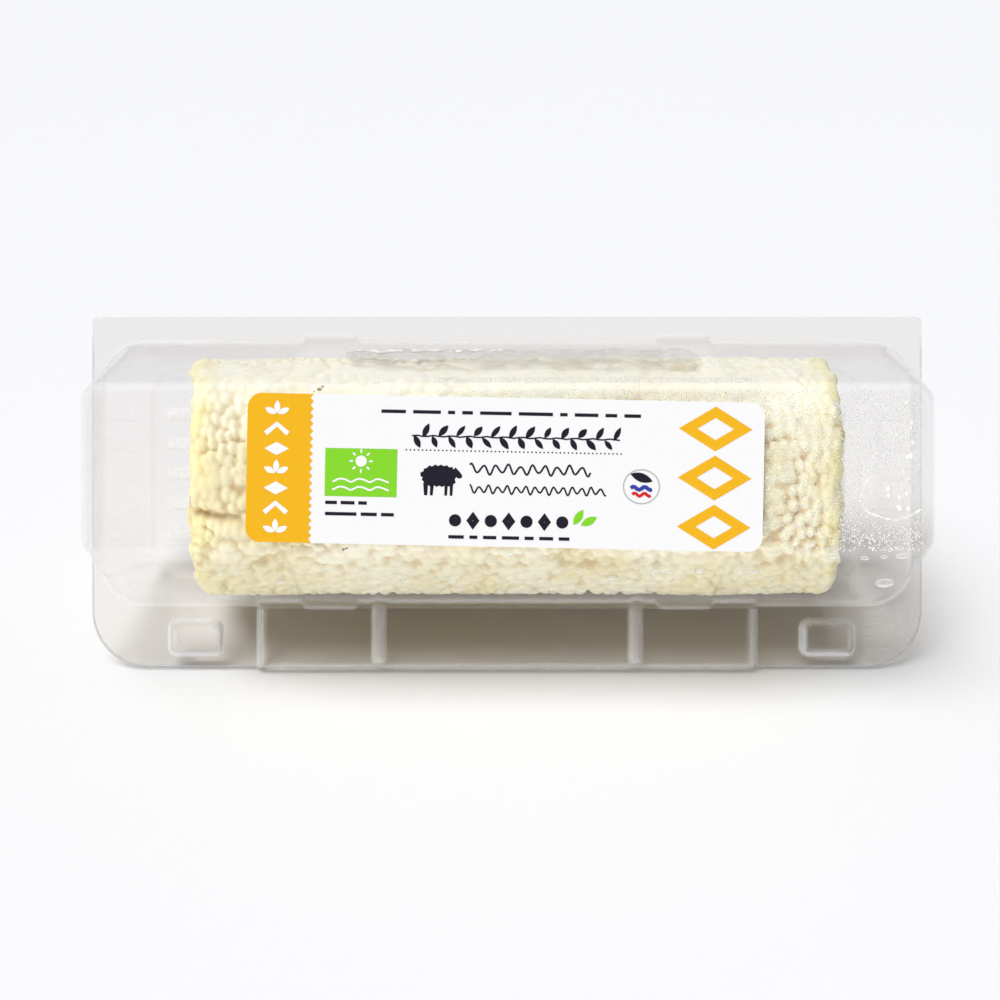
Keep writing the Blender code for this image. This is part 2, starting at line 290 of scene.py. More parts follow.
def patchHeight(x, y, section, rise, draft):
    radius = section.radius
    acrossX = abs(x - (section.xLow + section.xHigh) / 2) - (section.xHigh - section.xLow) / 2
    acrossY = abs(y - (section.yLow + section.yHigh) / 2) - (section.yHigh - section.yLow) / 2
    acrossX += radius
    acrossY += radius
    outside = math.hypot(max(acrossX, 0), max(acrossY, 0)) + min(max(acrossX, acrossY), 0)
    return rise * smooth(0.0, draft, radius - outside)


closing = {
    "panel": (0.0, 0.0516, -0.0400, -0.0150, 0.0006, 0.0016, 0.0008),
    "ribPlaces": (-0.0263, 0.0263),
    "rib": (0.0016, -0.0336, -0.0150, 0.0008, 0.0013, 0.0012),
    "buttonPlaces": (-0.0640, 0.0660),
    "button": (0.0058, -0.0322, -0.0244, 0.0018, 0.0019, 0.0007),
    # strip, ribSheen and lip set how strongly the panel strips, the ribs and the bottom lip get the painted highlight.
    "strip": 0.42, "stripLow": -0.0340, "ribSheen": 0.62, "lip": 0.50,
    "gripPitch": 0.00205,
    "gripRise": 0.00034,
}


def flangeRelief(x, y, inset):
    height = 0.0
    if y > 0.0:
        return height
    y = min(y, -0.0200)
    middle, half, yLow, yHigh, radius, rise, draft = closing["panel"]
    section = Section(middle - half + inset, middle + half - inset, yLow, yHigh, radius, radius)
    height += patchHeight(x, y, section, rise, draft)
    half, yLow, yHigh, radius, rise, draft = closing["rib"]
    for place in closing["ribPlaces"]:
        section = Section(place - half + inset, place + half - inset, yLow + inset, yHigh,
                          radius, radius)
        if inset == 0.0:
            height += patchHeight(x, y, section, rise, draft)
    half, yLow, yHigh, radius, rise, draft = closing["button"]
    for place in closing["buttonPlaces"]:
        section = Section(place - half + inset, place + half - inset, yLow + inset,
                          yHigh - inset, radius, radius)
        height += patchHeight(x, y, section, rise, draft)
    if inset == 0.0 and x > 0.0735:
        across = smooth(0.0735, 0.0745, x) * (1 - smooth(0.0838, 0.0846, x))
        along = smooth(-0.0335, -0.0325, y) * (1 - smooth(-0.0225, -0.0215, y))
        wave = 0.5 + 0.5 * math.cos(math.tau * (y + 0.0270) / closing["gripPitch"])
        height += closing["gripRise"] * wave * across * along
    return height


# Painted highlight: how much white the sheet gets here, from the relief's slope and from the panel strips, the bottom
# lip and the ribs.
def bendOf(x, y, inset):
    reach = 0.0003
    across = flangeRelief(x + reach, y, inset) - flangeRelief(x - reach, y, inset)
    along = flangeRelief(x, y + reach, inset) - flangeRelief(x, y - reach, inset)
    bend = min(1.0, math.hypot(across, along) / (2 * reach) / 1.6)
    if inset == 0.0 and y < -0.0200:
        strip = closing["strip"]
        edge = closing["panel"][1] - abs(x - closing["panel"][0])
        if y > closing["stripLow"]:
            bend = max(bend, strip * (1 - smooth(0.0017, 0.0022, edge)) * smooth(0.0, 0.0003, edge))
        lip = 1 - smooth(-0.0339, -0.0334, y)
        bend = max(bend, closing["lip"] * lip * smooth(0.0, 0.0006, edge))
        for place in closing["ribPlaces"]:
            across = 1 - smooth(closing["rib"][0] - 0.0003, closing["rib"][0], abs(x - place))
            along = smooth(closing["rib"][1], closing["rib"][1] + 0.0006, y)
            bend = max(bend, closing["ribSheen"] * across * along)
    return bend


def pressedShell(side, face, depth, inset, flangeRows, pillars):
    lowEdges = []
    for place in (-0.0516, 0.0516, -0.0508, 0.0508):
        lowEdges.append(place)
    for place in closing["ribPlaces"]:
        lowEdges += [place - 0.0014, place + 0.0014]
    for place in closing["buttonPlaces"]:
        lowEdges += [place - 0.0055, place + 0.0055]
    highEdges = []
    for place in pillars["places"]:
        lowEdges += [place - pillars["half"], place + pillars["half"]]
        highEdges += [place - pillars["half"], place + pillars["half"]]
    stations = ringStations(lowEdges, highEdges)
    base = pack["seam"] / 2 + pack["sheet"]
    foot = pillars["footRadius"]
    footSteps, wallSteps, rimSteps, innerSteps = 5, 8, 7, 3
    fillet = pack["fillet"]

    def pushed(station, x, y, z):
        name = station[0]
        if not pillars["proud"] or name not in ("low", "high"):
            return x, y
        share = max(0.0, 1.0 - z / pillars["top"])
        for place in pillars["places"]:
            plateau = 1 - smooth(pillars["half"] - 0.0011, pillars["half"] + 0.0001,
                                 abs(x - place))
            shift = pillars["proud"] * share * plateau
            y += shift if name == "high" else -shift
        return x, y

    def wallPoint(station, z, out):
        section = grown(between(pack["mouth"], face, min(1.0, z / depth)), out)
        x, y = ringPoint(section, station)
        return (*pushed(station, x, y, z), z)

    def columnOf(station):
        level = grown(pack["mouth"], foot)
        startX, startY = pushed(station, *ringPoint(level, station), 0.0)
        reliefAt = side * flangeRelief(startX, startY, inset)
        start = base + reliefAt
        outerX, outerY = ringPoint(pack["flange"], station)
        points = []
        for row in range(flangeRows):
            share = row / flangeRows
            x = mix(outerX, startX, share)
            y = mix(outerY, startY, share)
            # Painted highlight: the flange's outer rows get white.
            rim = 1 - smooth(0.0, 0.05, share)
            points.append((x, y, base + side * flangeRelief(x, y, inset),
                           max(bendOf(x, y, inset), 0.5 * rim)))
        # Painted highlight: white peaking halfway round the foot fillet.
        for step in range(footSteps + 1):
            turn = math.pi / 2 * step / footSteps
            points.append((*wallPoint(station, start + foot * (1 - math.cos(turn)),
                                      foot * (1 - math.sin(turn))), 0.35 * math.sin(2 * turn)))
        top = depth - fillet
        for step in range(1, wallSteps):
            point = wallPoint(station, mix(start + foot, top, step / wallSteps), 0.0)
            # Painted highlight: white on the hinge-side wall from about 6 mm up.
            wallSheen = pillars["wallSheen"] * smooth(0.006, 0.013, point[2]) if station[0] == "high" else 0.0
            points.append((*point, wallSheen))
        # Painted highlight: white peaking halfway round the rim fillet.
        for step in range(rimSteps + 1):
            turn = math.pi / 2 * step / rimSteps
            z = depth - fillet * (1 - math.sin(turn))
            section = grown(between(pack["mouth"], face, z / depth),
                            -fillet * (1 - math.cos(turn)))
            points.append((*ringPoint(section, station), z, 0.25 * math.sin(2 * turn)))
        for step in range(1, innerSteps + 1):
            section = grown(face, -fillet - 0.0006 * step)
            points.append((*ringPoint(section, station), depth, 0.0))
        return points

    columns = [columnOf(station) for station in stations]
    columns.append(columns[0])
    marks = {}

    def place(column, row):
        x, y, z, bend = columns[column][row]
        point = Vector((x, y, side * z))
        # Painted shade: the outermost row gets the dark edge mark, except along the hinge.
        rim = 1 - smooth(0.030, 0.034, y) if row == 0 else 0.0
        marks[tuple(round(value, 6) for value in point)] = (bend, rim)
        return point

    mesh = makeGrid(len(columns) - 1, len(columns[0]) - 1, place)
    bmesh.ops.remove_doubles(mesh, verts=mesh.verts, dist=0.000001)
    layers = [mesh.verts.layers.float.new(name) for name in ("bend", "edge")]
    for vert in mesh.verts:
        values = marks.get(tuple(round(value, 6) for value in vert.co), (0.0, 0.0))
        for layer, value in zip(layers, values):
            vert[layer] = value
    return mesh


def innerLoop(mesh, level):
    return [edge for edge in mesh.edges if edge.is_boundary
            and abs(edge.verts[0].co.z - level) < 1e-6 and abs(edge.verts[1].co.z - level) < 1e-6]


def orient(mesh, level, side):
    bmesh.ops.recalc_face_normals(mesh, faces=mesh.faces)
    mesh.normal_update()
    flat = [face for face in mesh.faces if abs(face.calc_center_median().z - level) < 1e-5]
    total = sum(face.normal.z * face.calc_area() for face in flat)
    if total * side < 0:
        bmesh.ops.reverse_faces(mesh, faces=mesh.faces)


def thicken(piece, thickness):
    solidify = piece.modifiers.new("sheet", "SOLIDIFY")
    solidify.thickness = thickness
    solidify.offset = -1.0


# Lid

lid = {
    "flangeRows": 30,
    "pillars": {"places": (-0.0363, 0.0363), "half": 0.0060, "proud": 0.0015, "top": 0.0222,
                "footRadius": 0.0007, "wallSheen": 0.12},
    "look": {"smudgeScale": 60.0, "grazingPower": 4.2, "grazingShine": 0.65,
             "plainShine": 0.016, "tint": (0.988, 0.989, 0.988),
             "shineTint": (0.95, 0.95, 0.95),
             "sheenStrength": 0.30, "sheenColour": (0.86, 0.87, 0.89),
             "edgeShade": 0.25, "edgeShadeColour": (0.26, 0.26, 0.27)},
}


def buildLid():
    mesh = pressedShell(1, pack["lidFace"], pack["lidDepth"], 0.0, lid["flangeRows"],
                        lid["pillars"])
    edges = innerLoop(mesh, pack["lidDepth"])
    bmesh.ops.contextual_create(mesh, geom=edges)
    orient(mesh, pack["lidDepth"], 1)
    piece = finishPiece("lid_shell", mesh, "lid",
                        clearSheet("clear_lid_sheet", lid["look"]))
    thicken(piece, pack["sheet"])
    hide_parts("lid")
    return piece


# Tray

tray = {
    "flangeRows": 24,
    "pillars": {"places": (), "half": 0.006, "proud": 0.0, "top": 1.0,
                "footRadius": 0.0007, "wallSheen": 0.0},
    "ridgeCount": 5, "ridgePitch": 0.00685, "ridgeMiddle": 0.0058, "ridgeHalf": 0.0775,
    "ridgeWidth": 0.0017, "ridgeRise": 0.0015, "ridgeSheen": 0.9,
    "look": {"smudgeScale": 60.0, "grazingPower": 4.2, "grazingShine": 0.65,
             # The tray's warmer tint stands in for warm light bounced off the cheese into the shade under the pack:
             # painted shade colour.
             "plainShine": 0.016, "tint": (0.985, 0.974, 0.963),
             "shineTint": (0.95, 0.95, 0.95),
             "sheenStrength": 0.30, "sheenColour": (0.86, 0.87, 0.89),
             "edgeShade": 0.25, "edgeShadeColour": (0.26, 0.26, 0.27)},
}


def ridgeHeight(x, y):
    height = 0.0
    for index in range(tray["ridgeCount"]):
        middle = tray["ridgeMiddle"] + (index - (tray["ridgeCount"] - 1) / 2) * tray["ridgePitch"]
        across = 1 - smooth(0.0006, tray["ridgeWidth"], abs(y - middle))
        along = 1 - smooth(tray["ridgeHalf"] - 0.0015, tray["ridgeHalf"], abs(x))
        height += tray["ridgeRise"] * across * along
    return height


def buildTray():
    mesh = pressedShell(-1, pack["trayFloor"], pack["trayDepth"], pack["sheet"] + pack["seam"],
                        tray["flangeRows"], tray["pillars"])
    floorLevel = -pack["trayDepth"]
    rim = innerLoop(mesh, floorLevel)
    inner = grown(pack["trayFloor"], -pack["fillet"] - 0.0030)
    columns, rows = 60, 96
    made = bmesh.ops.create_grid(mesh, x_segments=columns, y_segments=rows, size=0.5)["verts"]
    bend = mesh.verts.layers.float["bend"]
    for vert in made:
        x = mix(inner.xLow, inner.xHigh, vert.co.x + 0.5)
        y = mix(inner.yLow, inner.yHigh, vert.co.y + 0.5)
        height = ridgeHeight(x, y)
        share = height / tray["ridgeRise"]
        vert.co = (x, y, floorLevel + height)
        # Painted highlight: white on the ridges' flanks and a little on their tops.
        vert[bend] = tray["ridgeSheen"] * 4 * share * (1 - share) + 0.3 * share
    grid = set(made)
    border = [edge for edge in mesh.edges if edge.is_boundary and edge.verts[0] in grid]
    bmesh.ops.triangle_fill(mesh, use_beauty=True, edges=rim + border)
    orient(mesh, floorLevel, -1)
    piece = finishPiece("tray_shell", mesh, "base",
                        clearSheet("clear_tray_sheet", tray["look"]))
    thicken(piece, pack["sheet"])
    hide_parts("tray")
    return piece


# Cheese log

log = {
    "left": -0.0645, "right": 0.0676, "radius": 0.0254, "y": 0.0045, "z": -0.0012,
    "edgeRadius": 0.0032, "gap": 0.00035, "softness": 0.0028, "swell": 0.0006,
    "around": 300, "endRows": 28, "edgeRows": 7, "sideRows": 252,
    "beadPitch": 0.0025, "beadsAround": 62, "rowTurns": -34, "beadJitter": 0.33,
    "beadHeight": 0.00110, "beadReach": 0.68, "beadWarp": 0.45, "warpScale": 80.0,
    "lumpHeight": 0.00055, "lumpSize": 0.0075, "endCell": 0.0031, "endRelief": 0.00045,
    "slant": 0.0043, "reach": 0.0140, "lobe": 0.0014, "bump": 0.0010,
    "creaseDepth": 0.0024, "creaseWidth": 0.0013, "creaseLength": 0.0180,
    "creaseAngle": math.radians(108),
}


def wallLines():
    mouth, face, floor = pack["mouth"], pack["lidFace"], pack["trayFloor"]
    ridgeTops = -pack["trayDepth"] + tray["ridgeRise"]
    corners = [Vector((mouth.yLow, 0.0)), Vector((face.yLow, pack["lidDepth"])),
               Vector((face.yHigh, pack["lidDepth"])), Vector((mouth.yHigh, 0.0)),
               Vector((floor.yHigh, ridgeTops)), Vector((floor.yLow, ridgeTops))]
    lines = []
    for first, second in zip(corners, corners[1:] + corners[:1]):
        along = (second - first).normalized()
        lines.append((first, Vector((-along.y, along.x))))
    return lines


def softMinimum(first, second):
    share = max(0.0, 1.0 - abs(first - second) / log["softness"])
    return min(first, second) - share * share * log["softness"] / 4


def wallLimit(angle, lines):
    ray = Vector((math.cos(angle), math.sin(angle)))
    axis = Vector((log["y"], log["z"]))
    limit = 1.0
    for point, normal in lines:
        facing = ray.dot(normal)
        if facing > 0.05:
            room = (point - axis).dot(normal) - pack["sheet"] - log["gap"]
            limit = softMinimum(limit, room / facing)
    return limit


# Offset and size of each bead, and the beads' relief: 0 in a crevice, 1 on top of a bead
beads = {}


def beadAt(row, place):
    if place < 0:
        row, place = row + log["rowTurns"], place + log["beadsAround"]
    elif place >= log["beadsAround"]:
        row, place = row - log["rowTurns"], place - log["beadsAround"]
    if (row, place) not in beads:
        draw = noise.cell_vector(Vector((row + 0.5, place + 0.5, 7.5)))
        jitter = log["beadJitter"] * 2
        beads[(row, place)] = ((draw.x - 0.5) * jitter, (draw.y - 0.5) * jitter,
                               0.82 + 0.36 * draw.z)
    return beads[(row, place)]


def beadRelief(x, angle):
    turn = (angle + math.pi / 2) / math.tau
    warpPoint = Vector((x, log["radius"] * math.cos(angle), log["radius"] * math.sin(angle)))
    warpPoint *= log["warpScale"]
    warp = noise.noise_vector(warpPoint) * log["beadWarp"]
    u = x / log["beadPitch"] + log["rowTurns"] * turn + warp.x
    v = log["beadsAround"] * turn + warp.y
    row, place = math.floor(u), math.floor(v)
    shear = log["rowTurns"] / log["beadsAround"]
    nearest = 9.0
    for i in (-1, 0, 1):
        for j in (-1, 0, 1):
            offU, offV, size = beadAt(row + i, place + j)
            along, around = row + i + 0.5 + offU - u, place + j + 0.5 + offV - v
            distance = math.hypot(along - shear * around, around) / size
            nearest = min(nearest, distance)
    share = min(1.0, nearest / log["beadReach"])
    return 1.0 - share * share


def creaseRelief(x, angle):
    along = min(1.0, max(0.0, 1.0 - (x - log["left"]) / log["creaseLength"]))
    bow = 0.055 * smooth(0.004, 0.016, x - log["left"]) + 0.03 * noise.noise(
        Vector((x * 330, 4.0, 2.0)))
    across = (angle - log["creaseAngle"] - bow) * log["radius"] / log["creaseWidth"]
    return math.sqrt(along) * math.exp(-across * across)


def endShift(x, radius, angle):
    end = log["right"] if x > 0 else log["left"]
    nearness = max(0.0, 1.0 - abs(end - x) / log["reach"])
    y = radius * math.cos(angle)
    z = radius * math.sin(angle)
    slant = -math.copysign(log["slant"], end) * max(0.0, z) / log["radius"]
    lobes = log["lobe"] * noise.noise(Vector((end * 90, y * 70, z * 70)))
    bumps = log["bump"] * noise.noise(Vector((end * 70, y * 260, z * 260)))
    return nearness * (slant + lobes + bumps)


def logProfile():
    corner = log["radius"] - log["edgeRadius"]
    end = [(0.0, corner * index / log["endRows"]) for index in range(log["endRows"])]
    for step in range(log["edgeRows"]):
        turn = math.pi / 2 * step / log["edgeRows"]
        end.append((log["edgeRadius"] * (1 - math.cos(turn)),
                    corner + log["edgeRadius"] * math.sin(turn)))
    first = [(log["left"] + depth, reach) for depth, reach in end]
    last = [(log["right"] - depth, reach) for depth, reach in reversed(end)]
    start = log["left"] + log["edgeRadius"]
    length = log["right"] - log["edgeRadius"] - start
    side = [(start + length * step / log["sideRows"], log["radius"])
            for step in range(log["sideRows"] + 1)]
    return first + side + last


def buildCheese():
    lines = wallLines()
    profile = logProfile()
    around = log["around"]
    angles = [math.tau * column / around - math.pi / 2 for column in range(around)]
    limits = [wallLimit(angle, lines) for angle in angles]
    marks = {}

    def place(column, row):
        x, reach = profile[row]
        angle = angles[column % around]
        share = reach / log["radius"]
        swell = log["swell"] * noise.noise(Vector((x * 45, 2.5 * math.cos(angle),
                                                   2.5 * math.sin(angle))))
        endSign = -1 if x < 0 else 1
        endDepth = min(x - log["left"], log["right"] - x)
        onSide = smooth(1.0 - 1.3 * log["edgeRadius"] / log["radius"], 1.0, share)
        bead = beadRelief(x, angle) if onSide > 0.0 else 1.0
        lump = noise.noise(Vector((x, reach * math.cos(angle), reach * math.sin(angle)))
                           / log["lumpSize"])
        near = noise.voronoi(Vector((x, reach * math.cos(angle), reach * math.sin(angle)))
                             / log["endCell"])[0]
        cell = min(1.0, (near[1] - near[0]) / 0.5)
        full = log["radius"] + swell
        pressed = smooth(0.0, 0.0016, full - limits[column % around])
        strength = 0.55 + 0.9 * smooth(-0.35, 0.35, noise.noise(
            Vector((x * 95 + 7, 3.1 * math.cos(angle), 3.1 * math.sin(angle)))))
        strength *= 1 - 0.65 * smooth(0.15, 0.5, angle) * (1 - smooth(0.85, 1.05, angle))
        strength *= 0.65 + 0.35 * smooth(0.0, 0.0045, endDepth)
        strength *= 1 + 0.45 * smooth(1.95, 2.25, angle)
        bead = mix(bead, min(1.0, 1.25 * bead), pressed)
        crease = creaseRelief(x, angle)
        relief = (log["beadHeight"] * strength * (bead - 1.0) * (1 - 0.30 * pressed)
                  + log["lumpHeight"] * (lump - 0.6) * (1 - 0.6 * pressed))
        endRelief = log["endRelief"] * (cell - 1.0)
        side = softMinimum(full, limits[column % around])
        length = share * (side - log["creaseDepth"] * crease) + relief * onSide
        along = x + endShift(x, reach, angle) + endSign * endRelief * (1 - onSide)
        point = Vector((along, log["y"] + length * math.cos(angle),
                        log["z"] + length * math.sin(angle)))
        marks[tuple(round(value, 6) for value in point)] = (
            1 - (1 - mix(cell, bead, onSide)) * min(1.0, strength), pressed * onSide,
            1 - smooth(0.001, 0.010, endDepth), crease)
        return point

    mesh = makeGrid(around, len(profile) - 1, place)
    bmesh.ops.remove_doubles(mesh, verts=mesh.verts, dist=0.000001)
    layers = [mesh.verts.layers.float.new(name) for name in ("rind", "pressed", "ending", "crease")]
    for vert in mesh.verts:
        values = marks.get(tuple(round(value, 6) for value in vert.co),
                           (1.0, 0.0, 0.0, 0.0))
        for layer, value in zip(layers, values):
            vert[layer] = value
    bmesh.ops.recalc_face_normals(mesh, faces=mesh.faces)
    piece = finishPiece("cheese_log", mesh, "base", cheeseMaterial())
    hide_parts("cheese")
    return piece


def cheeseMaterial():
    material, tree, output = newMaterial("cheese_rind")
    rind, pressed, ending, crease = [
        addNode(tree, "ShaderNodeAttribute", attribute_name=name).outputs["Fac"]
        for name in ("rind", "pressed", "ending", "crease")]
    broad = addNode(tree, "ShaderNodeTexNoise", {"Vector": objectPoint(tree), "Scale": 60.0,
                                                 "Detail": 3.0}).outputs[0]
    patches = addNode(tree, "ShaderNodeTexNoise", {"Vector": objectPoint(tree), "Scale": 170.0,
                                                   "Detail": 2.0}).outputs[0]
    fine = addNode(tree, "ShaderNodeTexNoise", {"Vector": objectPoint(tree), "Scale": 1100.0,
                                                "Detail": 4.0}).outputs[0]
    body = mixColour(tree, rangeOf(tree, broad, 0.38, 0.62, 0.0, 1.0),
                     (0.845, 0.765, 0.52, 1.0), (0.90, 0.86, 0.68, 1.0))
    # Painted highlight: the body turns whiter towards the log's top, where the light falls.
    height = addNode(tree, "ShaderNodeSeparateXYZ", {0: objectPoint(tree)}).outputs["Z"]
    body = mixColour(tree, rangeOf(tree, height, 0.051, 0.060, 0.0, 0.80), body,
                     (0.965, 0.945, 0.84, 1.0))
    yellowing = math2(tree, "MULTIPLY", ending, rangeOf(tree, patches, 0.35, 0.6, 0.25, 0.9))
    body = mixColour(tree, yellowing, body, (0.88, 0.80, 0.42, 1.0))
    # Darker yellow-brown in the hollows between beads: partly the rind's own yellower tone, partly painted shade.
    depth = rangeOf(tree, rind, 0.0, 0.75, 1.0, 0.0)
    strength = math2(tree, "MULTIPLY", depth, rangeOf(tree, patches, 0.35, 0.65, 0.30, 0.85))
    colour = mixColour(tree, strength, body, (0.70, 0.53, 0.27, 1.0))
    # The crease gets a darker brown the same way: partly the rind's own tone, partly painted shade.
    colour = mixColour(tree, rangeOf(tree, crease, 0.1, 1.0, 0.0, 0.75), colour,
                       (0.62, 0.45, 0.22, 1.0))
    rough = addNode(tree, "ShaderNodeBump", {"Height": fine, "Strength": 0.3,
                                             "Distance": 0.0004}).outputs[0]
    gloss = rangeOf(tree, pressed, 0.2, 0.9, 0.52, 0.36)
    shader = addNode(tree, "ShaderNodeBsdfPrincipled",
                     {"Base Color": colour, "Roughness": gloss, "Normal": rough,
                      "Subsurface Weight": 0.5, "Subsurface Radius": (1.0, 0.75, 0.4),
                      "Subsurface Scale": 0.0035, "Specular IOR Level": 0.4})
    tree.links.new(shader.outputs[0], output.inputs["Surface"])
    return material


# Label

label = {
    "halfLength": 0.0485, "halfHeight": 0.0140, "radius": 0.0027, "middle": (-0.0005, 0.0052),
    "turn": math.radians(-1.15), "low": 0.02403, "paper": 0.00012, "print": 0.00002,
}
labelToPack = (Matrix.Translation((*label["middle"], 0.0))
               @ Matrix.Rotation(label["turn"], 4, "Z"))


def addShape(mesh, points):
    return mesh.faces.new([mesh.verts.new((x * 0.001, y * 0.001, 0.0)) for x, y in points])


def addBar(mesh, x, y, width, height):
    addShape(mesh, [(x - width / 2, y - height / 2), (x + width / 2, y - height / 2),
                    (x + width / 2, y + height / 2), (x - width / 2, y + height / 2)])


def addDisc(mesh, x, y, radius, stretch=1.0, sides=20):
    addShape(mesh, [(x + radius * stretch * math.cos(math.tau * index / sides),
                     y + radius * math.sin(math.tau * index / sides)) for index in range(sides)])


def addFrame(mesh, x, y, halfX, halfY, share, corners):
    turns = [math.tau * index / corners for index in range(corners)]
    outer, inner = [[mesh.verts.new(((x + halfX * size * math.cos(turn)) * 0.001,
                                     (y + halfY * size * math.sin(turn)) * 0.001, 0.0))
                     for turn in turns] for size in (1.0, share)]
    for index in range(corners):
        after = (index + 1) % corners
        mesh.faces.new((outer[index], outer[after], inner[after], inner[index]))


def addLeaf(mesh, x, y, length, width, turn):
    points = []
    for index in range(16):
        way = math.tau * index / 16
        along = math.cos(way) * length / 2
        across = math.sin(way) * abs(math.sin(way)) * width / 2
        points.append((x + along * math.cos(turn) - across * math.sin(turn),
                       y + along * math.sin(turn) + across * math.cos(turn)))
    addShape(mesh, points)


def addWords(mesh, x, y, height, widths, gap):
    for width in widths:
        addBar(mesh, x + width / 2, y, width, height)
        x += width + gap


def addWave(mesh, xLow, xHigh, y, height, period, width):
    count = int((xHigh - xLow) / period * 14)
    points = []
    for index in range(count + 1):
        x = mix(xLow, xHigh, index / count)
        lift = height * (0.75 + 0.25 * math.sin(x * 1.7)) * math.sin(math.tau * x / period)
        points.append((x, y + lift))
    addRibbon(mesh, points, width)


def addRibbon(mesh, points, width):
    sides = []
    for index, (x, y) in enumerate(points):
        beforeX, beforeY = points[max(0, index - 1)]
        afterX, afterY = points[min(len(points) - 1, index + 1)]
        along = Vector((afterX - beforeX, afterY - beforeY)).normalized() * width / 2
        sides.append((mesh.verts.new(((x - along.y) * 0.001, (y + along.x) * 0.001, 0.0)),
                      mesh.verts.new(((x + along.y) * 0.001, (y - along.x) * 0.001, 0.0))))
    for (a, b), (c, d) in zip(sides, sides[1:]):
        mesh.faces.new((a, b, d, c))


def pressPrint(name, mesh, material, low, thickness):
    bmesh.ops.recalc_face_normals(mesh, faces=mesh.faces)
    made = bmesh.ops.extrude_face_region(mesh, geom=list(mesh.faces))["geom"]
    raised = [item for item in made if isinstance(item, bmesh.types.BMVert)]
    bmesh.ops.translate(mesh, verts=raised, vec=(0.0, 0.0, thickness))
    bmesh.ops.recalc_face_normals(mesh, faces=mesh.faces)
    bmesh.ops.transform(mesh, matrix=labelToPack @ Matrix.Translation((0.0, 0.0, low)),
                        verts=mesh.verts)
    return finishPiece(name, mesh, "lid", material, smoothShade=False)


def inkMaterial(name, colour, vary):
    material, tree, output = newMaterial(name)
    cloud = addNode(tree, "ShaderNodeTexNoise", {"Vector": objectPoint(tree), "Scale": 700.0,
                                                 "Detail": 3.0}).outputs[0]
    darker = tuple(channel * vary for channel in colour)
    shade = mixColour(tree, cloud, (*darker, 1.0), (*colour, 1.0))
    shader = addNode(tree, "ShaderNodeBsdfPrincipled", {"Base Color": shade, "Roughness": 0.38,
                                                        "Specular IOR Level": 0.35})
    tree.links.new(shader.outputs[0], output.inputs["Surface"])
    return material


def roundedPoints(halfLength, halfHeight, radius, steps=10):
    points = []
    for quarter, (xSign, ySign) in enumerate(((1, -1), (1, 1), (-1, 1), (-1, -1))):
        for step in range(steps + 1):
            turn = math.pi / 2 * (quarter - 1 + step / steps)
            points.append((xSign * (halfLength - radius) + radius * math.cos(turn),
                           ySign * (halfHeight - radius) + radius * math.sin(turn)))
    return points


def printOrange(mesh):
    radius, xLow, top = 2.67, -48.47, 13.97
    points = [(printing["bandEdge"], top)]
    for step in range(11):
        turn = math.pi / 2 * (1 + step / 10)
        points.append((xLow + radius + radius * math.cos(turn),
                       top - radius + radius * math.sin(turn)))
    for step in range(11):
        turn = math.pi / 2 * (2 + step / 10)
        points.append((xLow + radius + radius * math.cos(turn),
                       radius - top + radius * math.sin(turn)))
    teeth = printing["teeth"] * 2
    for index in range(teeth):
        points.append((printing["bandEdge"] - printing["toothDepth"] * (index % 2),
                       mix(-top, top, index / teeth)))
    addShape(mesh, points)
    for y in printing["diamonds"]:
        addFrame(mesh, 39.3, y, 6.9, 4.2, 0.50, 4)


def printGreen(mesh):
    addBar(mesh, -27.0, -0.6, 13.5, 9.0)
    addLeaf(mesh, 13.9, -8.2, 3.4, 1.5, math.radians(58))
    addLeaf(mesh, 15.9, -8.9, 3.4, 1.5, math.radians(28))


def printWhite(mesh):
    for index, kind in enumerate(("sprig", "chevron", "diamond", "sprig", "diamond", "chevron",
                                  "sprig")):
        y = 11.0 - 3.7 * index
        if kind == "sprig":
            for turn in (0.45, 1.57, 2.69):
                addLeaf(mesh, -42.9 + 1.35 * math.cos(turn), y - 0.9 + 1.35 * math.sin(turn), 2.4,
                        1.15, turn)
        elif kind == "diamond":
            addFrame(mesh, -42.9, y, 2.3, 1.25, 0.05, 4)
        else:
            addRibbon(mesh, [(-45.0, y - 0.9), (-42.9, y + 0.9), (-40.8, y - 0.9)], 0.95)
    addDisc(mesh, -27.0, 1.55, 1.05)
    for index in range(8):
        turn = math.tau * index / 8
        addLeaf(mesh, -27.0 + 1.85 * math.cos(turn), 1.55 + 1.85 * math.sin(turn), 0.9, 0.4, turn)
    for y in (-2.0, -3.5):
        addWave(mesh, -32.3, -21.7, y, 0.38, 3.5, 0.34)


